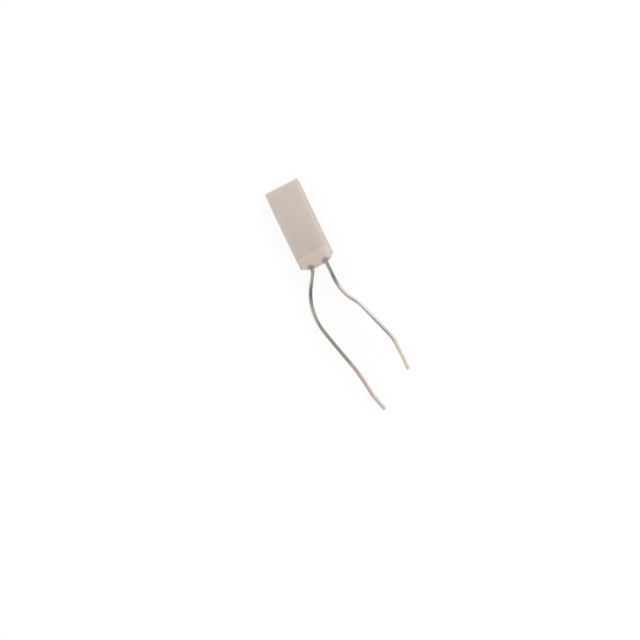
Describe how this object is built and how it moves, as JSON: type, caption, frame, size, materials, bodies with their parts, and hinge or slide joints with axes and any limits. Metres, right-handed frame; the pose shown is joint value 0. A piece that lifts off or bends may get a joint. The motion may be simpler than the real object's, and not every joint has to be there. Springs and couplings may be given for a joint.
{
  "type": "resistance temperature detector",
  "caption": "Thin-film temperature sensing element: a small glazed ceramic chip with a glass bead at one end and bare, hand-bent wire leads",
  "frame": {"origin": "centre of the ceramic chip's back face", "axes": "+Z out of the glazed face, +Y away from the leads along the chip, +X across the chip"},
  "size_m": [0.004, 0.0145, 0.0015],
  "materials": {
    "alumina": "fired, unglazed, with snapped and scribed edges",
    "platinum": "thin sputtered film",
    "pad_metal": "printed and fired, matte",
    "glaze": "opaque cream glass, satin",
    "bead_glass": "opaque cream glass, fused, soft gloss",
    "lead_wire": "drawn wire, dull bright"
  },
  "bodies": {
    "root": {"alumina_chip": "alumina", "platinum_film": "platinum", "contact_pad_left": "pad_metal", "contact_pad_right": "pad_metal", "protective_glaze": "glaze", "fixing_bead": "bead_glass", "lead_left": "lead_wire", "lead_right": "lead_wire"}
  },
  "joints": []
}
